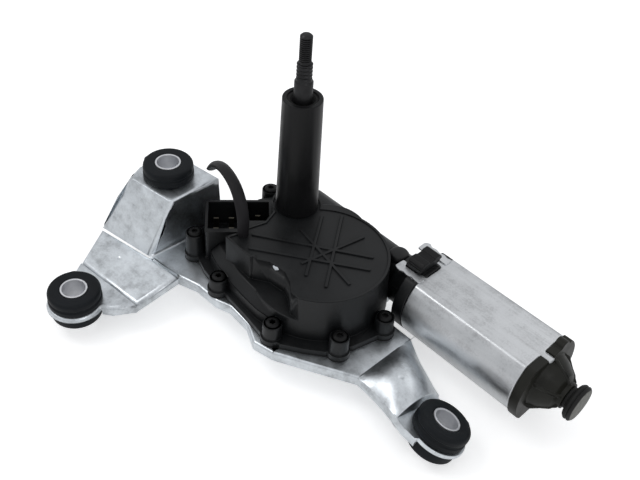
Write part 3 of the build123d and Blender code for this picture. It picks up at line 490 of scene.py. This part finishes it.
def build_case(settings):
    """Gear case with rounded moulded edges, wider on its corners than on its ribs and rim."""
    edge = settings.edge / MM

    def width_of(middle, direction, normals, convex, length):
        if middle.z > CASE_TOP - 0.6:
            return 0.0
        if middle.z < CASE_FLANGE:
            return 0.2
        if not convex:
            return 0.5 * edge
        return edge if abs(direction.z) < 0.7 else 1.3 * edge

    return rounded_copy("gear_cover", width_of, 2, 25.0, "gear_case")


def build_socket(settings):
    """Connector socket with rounded outer corners and thin rims."""
    corner = settings.corner / MM

    def width_of(middle, direction, normals, convex, length):
        if abs(direction.z) > 0.9 and length > 16.0 and convex:
            return corner
        return 0.25

    return rounded_copy("connector_socket", width_of, 4, 25.0, "connector_moulding")


def build_plain_edges(settings):
    """Pieces whose only refinement is a small even rounding of their edges."""
    made = []
    for node, width, segments, angle in (("motor_can", 0.9, 4, 22.0), ("end_cap", 0.35, 2, 22.0),
                                         ("can_clip", 0.4, 2, 22.0), ("spindle_tube", 0.5, 3, 25.0),
                                         ("end_buffer", 0.25, 2, 25.0), ("sleeve_upper", 0.25, 2, 30.0),
                                         ("sleeve_left", 0.25, 2, 30.0), ("sleeve_right", 0.25, 2, 30.0),
                                         ("connector_terminals", 0.12, 2, 30.0)):
        share = settings.rounding
        made.append(rounded_copy(node, lambda *edge, w=width * share: w, segments, angle))
    return made


def build_spindle(settings):
    """Wiper spindle with its rolled thread.

    Over the thread r(a, h) = R - D (1 - g) f, where g = 0.5 - 0.9 cos(2 pi h/p - a) is held to 0..1, which
    gives flat crests and roots, and f fades the thread at both ends; below it the turned outline of the
    ring-grooved seat and the shank."""
    columns = 64
    angle = np.linspace(0, 2 * math.pi, columns, endpoint=False)
    end_r, groove_r, shank_r, seat_r, ring_r, stud_r = 3.9, 3.5, 4.5, 3.8, 3.3, 2.98
    bottom, groove_low, groove_high, seat_bottom = DECK + 10.6, DECK + 11.4, DECK + 12.3, -8.6
    shank = [(end_r, bottom), (end_r, groove_low), (groove_r, groove_low), (groove_r, groove_high),
             (shank_r, groove_high), (shank_r, seat_bottom - 0.7), (seat_r, seat_bottom)]
    for k in range(4):
        foot = seat_bottom + 1.2 + 1.9 * k
        shank += [(seat_r, foot), (ring_r, foot + 0.4), (ring_r, foot + 0.8), (seat_r, foot + 1.2)]
    shank += [(seat_r, -0.15), (3.6, 0.0)]
    low = rounded(shank, 0.12, 1)
    pitch, depth, length = settings.pitch / MM, settings.depth / MM, 14.5
    h = np.linspace(0.05, length - 0.9, 190)
    fade = np.clip(h / 1.5, 0, 1) * np.clip((length - 0.9 - h) / 0.8, 0, 1)
    phase = 2 * math.pi * h[:, None] / pitch - angle
    ridge = np.clip(0.5 - 0.9 * np.cos(phase), 0, 1)
    thread = stud_r - depth * (1 - ridge) * fade[:, None]
    tip_r = np.array([2.6, 2.1, 1.9])
    tip_h = np.array([length - 0.5, length - 0.08, length])
    r = np.concatenate([low[:, :1] * np.ones(columns), thread, tip_r[:, None] * np.ones(columns)])
    z = np.concatenate([low[:, 1], h, tip_h])
    points = revolved((r, z), columns, axes_of((0, 0, 0), (0, 0, 1)))
    points = np.vstack([points, [[0, 0, bottom]], [[0, 0, length]]])
    return mesh_object("spindle_threaded", points, capped_faces(len(z), columns), "black_steel", "spindle",
                       ["wiper_spindle"], 50.0)


GROMMET = [(6.72, -9.0), (11.5, -9.0), (12.6, -7.8), (12.6, -2.0), (9.6, -2.0), (9.6, 0.0), (13.3, 0.0),
           (13.3, 2.8), (12.7, 3.2), (12.7, 4.4), (13.2, 4.8), (13.1, 6.8), (12.1, 8.0), (7.6, 8.0), (6.72, 7.5)]


def build_grommets(settings):
    """Rubber grommets: a rounded turned section r(h), swollen a little at two moulding tabs.

    The tabs add t exp(-(a / w)^2) to the outer radius of the upper bead at a = 0 and a = pi."""
    columns = 96
    angle = np.linspace(0, 2 * math.pi, columns, endpoint=False)
    outline = rounded(GROMMET, settings.round / MM, 4, closed=True)
    made = []
    for side, (place, axis) in FEET.items():
        turn = {"upper": 0.5, "left": 2.6, "right": 1.1}[side]
        swell = np.exp(-((np.mod(angle - turn + math.pi / 2, math.pi) - math.pi / 2) / 0.10) ** 2)
        near = np.clip((outline[:, 0] - 12.0) / 0.8, 0, 1) * ((outline[:, 1] > 4.6) & (outline[:, 1] < 7.4))
        r = outline[:, 0][:, None] + settings.tab / MM * near[:, None] * swell
        points = revolved((r, outline[:, 1]), columns, axes_of(place, axis))
        faces = grid_faces(len(outline), columns, wrap_rows=True)
        made.append(mesh_object("grommet_rubber_" + side, points, faces, "grommet_rubber", "housing",
                                ["grommet_" + side], 60.0))
    return made


CRIMPS = {"near": [(77.5, 9.6), (77.5, 13.2), (64.4, 13.2), (64.4, 15.8), (61.4, 15.8), (61.2, 9.8), (64.2, 8.6),
                   (66.8, 9.6), (69.5, 9.0), (72.0, 9.9), (74.5, 9.1)],
          "far": [(77.5, 29.4), (77.5, 34.2), (75.0, 33.4), (72.6, 34.4), (70.0, 33.6), (67.0, 34.6), (64.2, 33.8),
                  (62.4, 35.4), (59.8, 33.8), (60.0, 28.2), (64.3, 28.0), (64.6, 29.4)]}


def build_crimps():
    """Crimp tabs of the can: flat outlines with rounded corners, folded over the case's collar.

    Ring k is P + s_k (M - P) / |M - P| at height h_k, for outline points P about their mean M."""
    made = []
    for side, corners in CRIMPS.items():
        outline = rounded(corners, 0.9, 3, closed=True)
        count = len(outline)
        inward = outline.mean(0) - outline
        inward /= np.linalg.norm(inward, axis=1)[:, None]
        rings = [np.column_stack([outline + inward * shrink, np.full(count, CAN_TOP + height)])
                 for height, shrink in ((0.0, 0.0), (0.5, 0.0), (0.7, 0.2))]
        faces = [list(f) for f in grid_faces(3, count)] + [list(range(count))[::-1],
                                                           list(range(2 * count, 3 * count))]
        made.append(mesh_object("crimp_tab_" + side, np.vstack(rings), faces, "zinc_plated_can", "housing"))
    return made


def build_pipe():
    """Breather pipe: rings along a vertical plane's path of a line and two arcs, pressed into a slit end.

    Ring k is P = C_k + a_k cos(t) X + b_k sin(t) N_k, with X across the plane and N_k in it; the half-widths
    a and b change smoothly from round to oval, and to pressed flat near the end."""
    sunk, straight = 26.6, 35.0                             # heights of the straight foot over the plate
    bend, crown, mouth = (0, 36), (14, 51), (47.2, 36)      # distance along the run, height over the plate
    pipe_r, change_length = 2.5, 9.0
    foot, end = np.array([0.3, -36.1]), np.array([-45.0, -20.0])
    run = (end - foot) / np.linalg.norm(end - foot)

    def arc(start, stop, tangent, count):
        """Points of the circle arc from start to stop that leaves start along the tangent."""
        start, stop, tangent = (np.array(v, float) for v in (start, stop, tangent))
        normal = np.array([-tangent[1], tangent[0]])
        chord = stop - start
        radius = chord @ chord / (2 * chord @ normal)
        centre = start + radius * normal
        first = np.arctan2(*(start - centre)[::-1])
        last = np.arctan2(*(stop - centre)[::-1])
        turn = (last - first + math.pi) % (2 * math.pi) - math.pi
        a = first + turn * np.linspace(0, 1, count)
        points = centre + abs(radius) * np.stack([np.cos(a), np.sin(a)], 1)
        away = np.sign(turn) * np.stack([-np.sin(a), np.cos(a)], 1)
        return points, away

    line = np.stack([np.zeros(6), np.linspace(sunk, straight, 6)], 1)
    first, first_way = arc(bend, crown, (0, 1), 22)
    second, second_way = arc(crown, mouth, first_way[-1], 40)
    path = np.vstack([line, first, second[1:]])
    way = np.vstack([np.tile([0.0, 1.0], (6, 1)), first_way, second_way[1:]])
    along = np.concatenate([[0], np.cumsum(np.linalg.norm(np.diff(path, axis=0), axis=1))])
    flat = np.clip((along - (along[-1] - change_length)) / 8.0, 0, 1)
    flat = flat * flat * (3 - 2 * flat)
    columns = 40
    angle = np.linspace(0, 2 * math.pi, columns, endpoint=False)
    across = np.array([run[1], -run[0], 0.0])

    def rings(rows, half_across, half_in):
        """Oval rings at the given rows of the path."""
        centre = np.stack([foot[0] + run[0] * path[rows, 0], foot[1] + run[1] * path[rows, 0],
                           DECK + path[rows, 1]], 1)
        inward = np.stack([-run[0] * way[rows, 1], -run[1] * way[rows, 1], way[rows, 0]], 1)
        return (centre[:, None, :] + (half_across[:, None] * np.cos(angle))[..., None] * across
                + (half_in[:, None] * np.sin(angle))[..., None] * inward[:, None, :])

    everywhere = np.arange(len(path))
    deep = everywhere[::-1][:14]
    oval = np.clip(along / change_length, 0, 1)
    outer = rings(everywhere, pipe_r + 0.6 * oval, pipe_r - 0.4 * oval - 0.6 * flat)
    inner = rings(deep, 2.3 + 0.2 * flat[deep], 1.4 - 0.8 * flat[deep])
    grid = np.concatenate([outer, inner])
    points = np.vstack([grid.reshape(-1, 3), [grid[0].mean(0)], [grid[-1].mean(0)]])
    return mesh_object("breather_hose", points, capped_faces(len(grid), columns), "hose_nylon", "housing",
                       ["breather_pipe"], 50.0)


def build_screws():
    """Case screws: a domed head with a six-lobe recess r(a) = R + e cos 6a, and the shank's end below."""
    columns = 48
    angle = np.linspace(0, 2 * math.pi, columns, endpoint=False)
    lobes = 1.45 + 0.22 * np.cos(6 * angle)
    points, faces = [], []
    for x, y, seat in SCREWS:
        outer = [(1.2, -3.5), (2.0, -2.9), (2.0, seat), (3.3, seat), (3.4, seat + 0.2), (3.4, seat + 1.1),
                 (3.2, seat + 1.6), (2.5, seat + 2.05), (1.95, seat + 2.2)]
        r = np.array([radius * np.ones(columns) for radius, _ in outer] + [lobes + 0.12, lobes, lobes * 0.92])
        h = np.array([height for _, height in outer] + [seat + 2.2, seat + 2.05, seat + 0.8])
        ring = revolved((r, h), columns, axes_of((x, y, DECK), (0, 0, 1), (1, 0.3 * x, 0)))
        base = len(points)
        points += ring.tolist() + [[x, y, DECK - 3.5], [x, y, DECK + seat + 0.7]]
        faces += [[base + k for k in face] for face in capped_faces(len(h), columns)]
    return mesh_object("case_screw_heads", points, faces, "zinc_screw", "housing", ["cover_screws"], 40.0)


def build_paint_spot(settings):
    """Dab of inspection paint on the pocket's wall: a low blob r(a) = R (1 + 0.25 sin 2a + 0.15 sin 3a)."""
    columns, rows = 36, 5
    angle = np.linspace(0, 2 * math.pi, columns, endpoint=False)
    shape = settings.paint / MM * (1 + 0.25 * np.sin(2 * angle + 1.0) + 0.15 * np.sin(3 * angle))
    share = np.linspace(1.0, 0.25, rows)[:, None]
    r = share * shape
    h = 0.16 * np.sqrt(np.clip(1 - share ** 2, 0, 1)) * np.ones(columns)
    x = settings.paint_x / MM
    axes = axes_of((x, -38.6 + (x - 23.3) / 9.7, DECK + settings.paint_z / MM), (0.1025, -0.9947, 0))
    points = np.vstack([revolved((r, h), columns, axes), [axes[0]], [axes[0] + 0.17 * axes[3]]])
    return mesh_object("paint_dab", points, capped_faces(rows, columns), "inspection_paint", "housing")


def build_stage(settings):
    """Pale floor, a dim room with soft lamps, and the camera.

    The camera sees plain white round the piece; reflections see a darker room, which gives metal its
    contrast."""
    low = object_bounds()[0].z
    bpy.ops.mesh.primitive_plane_add(size=6.0, location=(0, 0, low - 0.0002))
    floor = bpy.context.object
    floor.name = "floor"
    s = Shader("studio_paper")
    place = s.object_place()
    grain = s.noise(place, 300.0, 2.0)
    rays = s.add("LightPath").outputs
    paper = s.ramp(grain, [(0.3, linear("#fafafa")), (0.7, linear("#fdfdfd"))])
    shown = s.add("Mix", {"Factor": rays["Is Glossy Ray"], "A": paper, "B": linear("#dcdcdc")},
                  data_type="RGBA")
    seen = s.sum(rays["Is Camera Ray"], rays["Is Glossy Ray"], 0.6)
    lift = s.add("Math", {0: seen, 1: settings.floor}, operation="MULTIPLY")
    sheet = s.add("BsdfPrincipled", {"Base Color": shown.outputs[2], "Roughness": 0.9, "Specular IOR Level": 0.1,
                                     "Emission Color": (1.0, 1.0, 1.0, 1.0),
                                     "Emission Strength": lift.outputs["Value"]})
    floor.data.materials.append(s.finish(sheet.outputs["BSDF"]))
    floor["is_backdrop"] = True
    for name, place, size, power in (("key", (-0.55, -0.45, 0.95), 0.55, settings.key),
                                     ("side", (0.85, -0.25, 0.75), 0.35, settings.side),
                                     ("back", (0.15, 0.95, 0.75), 0.9, settings.back)):
        data = bpy.data.lights.new(name, "AREA")
        data.shape = "DISK"
        data.size = size
        data.energy = power
        lamp = bpy.data.objects.new(name, data)
        bpy.context.scene.collection.objects.link(lamp)
        lamp.location = place
        lamp.rotation_mode = "QUATERNION"
        lamp.rotation_quaternion = (Vector((0.04, -0.02, -0.09)) - Vector(place)).to_track_quat("-Z", "Y")
        lamp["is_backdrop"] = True
    world = bpy.data.worlds.new("studio")
    world.use_nodes = True
    bpy.context.scene.world = world
    nodes, links = world.node_tree.nodes, world.node_tree.links
    ground = nodes["Background"]
    sky = nodes.new("ShaderNodeTexCoord")
    axis = nodes.new("ShaderNodeSeparateXYZ")
    ramp = nodes.new("ShaderNodeValToRGB")
    rays = nodes.new("ShaderNodeLightPath")
    pick = nodes.new("ShaderNodeMix")
    pick.data_type = "RGBA"
    links.new(sky.outputs["Generated"], axis.inputs["Vector"])
    links.new(axis.outputs["Z"], ramp.inputs["Fac"])
    stops = ramp.color_ramp.elements
    stops[0].position, stops[0].color = 0.0, linear("#cfd0d2")
    stops[1].position, stops[1].color = 1.0, linear("#d6d7d9")
    for height, colour in ((0.22, "#b8babc"), (0.5, "#cecfd1")):
        stops.new(height).color = linear(colour)
    links.new(rays.outputs["Is Camera Ray"], pick.inputs["Factor"])
    links.new(ramp.outputs["Color"], pick.inputs["A"])
    pick.inputs["B"].default_value = (1.0, 1.0, 1.0, 1.0)
    links.new(pick.outputs[2], ground.inputs["Color"])
    ground.inputs["Strength"].default_value = settings.room
    data = bpy.data.cameras.new("camera")
    data.sensor_width = 36.0
    data.lens = settings.lens
    camera = bpy.data.objects.new("camera", data)
    bpy.context.scene.collection.objects.link(camera)
    right, up, look = (Vector(v) for v in ((0.6888, 0.7221, 0.0644), (-0.5192, 0.4293, 0.739),
                                           (-0.506, 0.5425, -0.6706)))
    place = Matrix((right, up, -look)).transposed().to_4x4()
    place.translation = Vector((237.9, -235.0, 195.5)) * MM
    camera.matrix_world = place
    data.clip_start = 0.01
    bpy.context.scene.camera = camera
    bpy.context.scene.view_settings.view_transform = "Standard"


# ------------------------------------------------------------------ add-on

def length_setting(name, description, default_mm, low_mm, high_mm):
    """Length property in metres from values in millimetres."""
    return bpy.props.FloatProperty(name=name, description=description, default=default_mm * MM, min=low_mm * MM,
                                   max=high_mm * MM, unit="LENGTH", subtype="DISTANCE", precision=5)


def colour_setting(name, description, colour):
    return bpy.props.FloatVectorProperty(name=name, description=description, default=linear(colour)[:3], size=3,
                                         min=0.0, max=1.0, subtype="COLOR")


class FinishSettings(bpy.types.PropertyGroup):
    zinc: colour_setting("Zinc sheet", "Colour of the plated bracket", "#dbe0e4")
    can: colour_setting("Zinc can", "Colour of the plated motor can", "#d6d8da")
    nylon: colour_setting("Case nylon", "Colour of the gear case's nylon", "#101112")
    rubber: colour_setting("Grommet rubber", "Colour of the grommets", "#121518")


class BracketSettings(bpy.types.PropertyGroup):
    bend: length_setting("Bend radius", "Rounding of the pressing's outer bends", 2.3, 0.2, 3.0)
    cut: length_setting("Cut edge", "Rounding of sheared edges and holes", 0.22, 0.05, 0.6)


class CaseSettings(bpy.types.PropertyGroup):
    edge: length_setting("Edge radius", "Rounding of the case's moulded edges", 0.45, 0.05, 1.2)
    corner: length_setting("Socket corner", "Rounding of the connector socket's outer corners", 2.2, 0.1, 4.0)
    paint: length_setting("Paint dab", "Radius of the dab of inspection paint", 1.5, 0.2, 3.0)
    paint_x: length_setting("Paint place", "Place of the dab along the pocket's wall", 27.0, 24.0, 32.0)
    paint_z: length_setting("Paint height", "Height of the dab over the plate", 26.8, 16.0, 28.0)


class SpindleSettings(bpy.types.PropertyGroup):
    pitch: length_setting("Thread pitch", "Pitch of the stud's thread", 1.0, 0.5, 1.5)
    depth: length_setting("Thread depth", "Depth of the stud's thread", 0.55, 0.1, 0.7)


class RubberSettings(bpy.types.PropertyGroup):
    round: length_setting("Rubber edge", "Rounding of the grommets' edges", 0.9, 0.1, 2.0)
    tab: length_setting("Moulding tab", "How far the moulding tabs stand out", 0.5, 0.0, 1.0)


class DetailSettings(bpy.types.PropertyGroup):
    rounding: bpy.props.FloatProperty(name="Edge share", description="Share of each plain piece's edge rounding",
                                      default=1.0, min=0.2, max=1.5)


class StageSettings(bpy.types.PropertyGroup):
    lens: bpy.props.FloatProperty(name="Lens", description="Focal length in millimetres", default=47.217,
                                  min=10.0, max=200.0)
    key: bpy.props.FloatProperty(name="Key lamp", description="Power in watts", default=2.1, min=0.0, max=100.0,
                                 unit="POWER")
    side: bpy.props.FloatProperty(name="Side lamp", description="Power in watts", default=0.8, min=0.0, max=100.0,
                                  unit="POWER")
    back: bpy.props.FloatProperty(name="Back lamp", description="Power in watts", default=0.8, min=0.0, max=100.0,
                                  unit="POWER")
    room: bpy.props.FloatProperty(name="Room", description="Strength of the room's light", default=1.0, min=0.0,
                                  max=5.0)
    floor: bpy.props.FloatProperty(name="Floor lift", default=0.45, min=0.0, max=2.0,
                                   description="Light added to the floor as camera and reflections see it")


class Step:
    """Shared part of the add-on's operators: run one builder on its settings."""
    bl_options = {"REGISTER", "UNDO"}

    def execute(self, context):
        self.build(context.scene)
        return {"FINISHED"}


class WIPER_OT_materials(Step, bpy.types.Operator):
    """Give every engineering node its material"""
    bl_idname = "wiper.materials"
    bl_label = "Materials"

    def build(self, scene):
        dress_nodes()


class WIPER_OT_bracket(Step, bpy.types.Operator):
    """Build the pressed steel bracket"""
    bl_idname = "wiper.bracket"
    bl_label = "Bracket"

    def build(self, scene):
        build_bracket(scene.wiper_bracket)


class WIPER_OT_case(Step, bpy.types.Operator):
    """Build the gear case, its socket, its screws and the dab of paint"""
    bl_idname = "wiper.gear_case"
    bl_label = "Gear case"

    def build(self, scene):
        build_case(scene.wiper_case)
        build_socket(scene.wiper_case)
        build_screws()
        build_paint_spot(scene.wiper_case)


class WIPER_OT_spindle(Step, bpy.types.Operator):
    """Build the threaded wiper spindle"""
    bl_idname = "wiper.spindle"
    bl_label = "Spindle"

    def build(self, scene):
        build_spindle(scene.wiper_spindle)


class WIPER_OT_rubber(Step, bpy.types.Operator):
    """Build the rubber grommets"""
    bl_idname = "wiper.rubber"
    bl_label = "Grommets"

    def build(self, scene):
        build_grommets(scene.wiper_rubber)


class WIPER_OT_details(Step, bpy.types.Operator):
    """Build the breather pipe and the pieces with plain rounded edges"""
    bl_idname = "wiper.details"
    bl_label = "Pipe and plain pieces"

    def build(self, scene):
        build_pipe()
        build_crimps()
        build_plain_edges(scene.wiper_details)


class WIPER_OT_stage(Step, bpy.types.Operator):
    """Build the floor, the lamps and the camera"""
    bl_idname = "wiper.stage"
    bl_label = "Stage"

    def build(self, scene):
        build_stage(scene.wiper_stage)


OPERATORS = (WIPER_OT_materials, WIPER_OT_bracket, WIPER_OT_case, WIPER_OT_spindle, WIPER_OT_rubber,
             WIPER_OT_details, WIPER_OT_stage)
GROUPS = {"wiper_finish": FinishSettings, "wiper_bracket": BracketSettings, "wiper_case": CaseSettings,
          "wiper_spindle": SpindleSettings, "wiper_rubber": RubberSettings, "wiper_details": DetailSettings,
          "wiper_stage": StageSettings}


class WIPER_PT_panel(bpy.types.Panel):
    """Sidebar panel that lists the wiper motor's steps and settings"""
    bl_idname = "WIPER_PT_panel"
    bl_label = "Wiper Motor"
    bl_space_type = "VIEW_3D"
    bl_region_type = "UI"
    bl_category = "Wiper Motor"

    def draw(self, context):
        for operator in OPERATORS:
            self.layout.operator(operator.bl_idname)
        for name in GROUPS:
            settings = getattr(context.scene, name)
            for key in settings.bl_rna.properties.keys():
                if key not in ("rna_type", "name"):
                    self.layout.prop(settings, key)


def register():
    for name, group in GROUPS.items():
        bpy.utils.register_class(group)
        setattr(bpy.types.Scene, name, bpy.props.PointerProperty(type=group))
    for operator in (*OPERATORS, WIPER_PT_panel):
        bpy.utils.register_class(operator)


def unregister():
    for operator in reversed((*OPERATORS, WIPER_PT_panel)):
        bpy.utils.unregister_class(operator)
    for name, group in GROUPS.items():
        delattr(bpy.types.Scene, name)
        bpy.utils.unregister_class(group)


def main():
    """Registers the add-on and runs its steps in order."""
    register()
    for operator in OPERATORS:
        group, step = operator.bl_idname.split(".")
        getattr(getattr(bpy.ops, group), step)()


if __name__ == "__main__":
    main()
